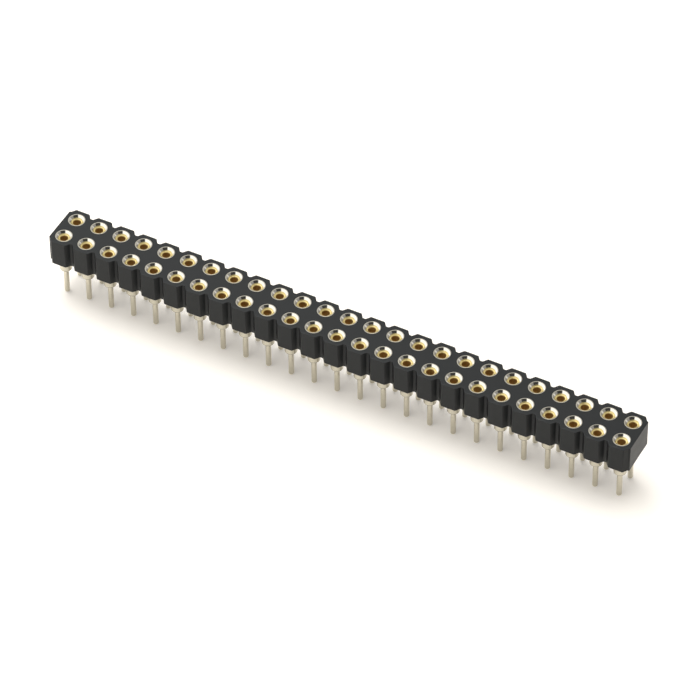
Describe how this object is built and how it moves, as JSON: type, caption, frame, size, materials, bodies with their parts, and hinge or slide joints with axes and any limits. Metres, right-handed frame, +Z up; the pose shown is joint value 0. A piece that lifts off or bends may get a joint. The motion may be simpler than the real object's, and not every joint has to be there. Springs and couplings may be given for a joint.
{
  "type": "machined pin socket strip",
  "caption": "Double-row socket strip: turned spring-contact sleeves in a notched black insulator, with round solder tails that stand it off a circuit board.",
  "frame": {"origin": "centre of the plane that the fifty tail tips stand on", "axes": "+Z up out of the sockets, X along the rows, Y across them with the front row at -Y"},
  "size_m": [0.0636, 0.005, 0.0075],
  "materials": {
    "insulator": "black moulded thermoplastic, semi-matte",
    "sleeve": "tin-plated turned brass, satin",
    "clip": "gold-plated spring copper alloy"
  },
  "bodies": {
    "root": {"insulator": "insulator", "front_sleeve_01": "sleeve", "front_sleeve_02": "sleeve", "front_sleeve_03": "sleeve", "front_sleeve_04": "sleeve", "front_sleeve_05": "sleeve", "front_sleeve_06": "sleeve", "front_sleeve_07": "sleeve", "front_sleeve_08": "sleeve", "front_sleeve_09": "sleeve", "front_sleeve_10": "sleeve", "front_sleeve_11": "sleeve", "front_sleeve_12": "sleeve", "front_sleeve_13": "sleeve", "front_sleeve_14": "sleeve", "front_sleeve_15": "sleeve", "front_sleeve_16": "sleeve", "front_sleeve_17": "sleeve", "front_sleeve_18": "sleeve", "front_sleeve_19": "sleeve", "front_sleeve_20": "sleeve", "front_sleeve_21": "sleeve", "front_sleeve_22": "sleeve", "front_sleeve_23": "sleeve", "front_sleeve_24": "sleeve", "front_sleeve_25": "sleeve", "back_sleeve_01": "sleeve", "back_sleeve_02": "sleeve", "back_sleeve_03": "sleeve", "back_sleeve_04": "sleeve", "back_sleeve_05": "sleeve", "back_sleeve_06": "sleeve", "back_sleeve_07": "sleeve", "back_sleeve_08": "sleeve", "back_sleeve_09": "sleeve", "back_sleeve_10": "sleeve", "back_sleeve_11": "sleeve", "back_sleeve_12": "sleeve", "back_sleeve_13": "sleeve", "back_sleeve_14": "sleeve", "back_sleeve_15": "sleeve", "back_sleeve_16": "sleeve", "back_sleeve_17": "sleeve", "back_sleeve_18": "sleeve", "back_sleeve_19": "sleeve", "back_sleeve_20": "sleeve", "back_sleeve_21": "sleeve", "back_sleeve_22": "sleeve", "back_sleeve_23": "sleeve", "back_sleeve_24": "sleeve", "back_sleeve_25": "sleeve", "front_contact_clips": "clip", "back_contact_clips": "clip"}
  },
  "joints": []
}
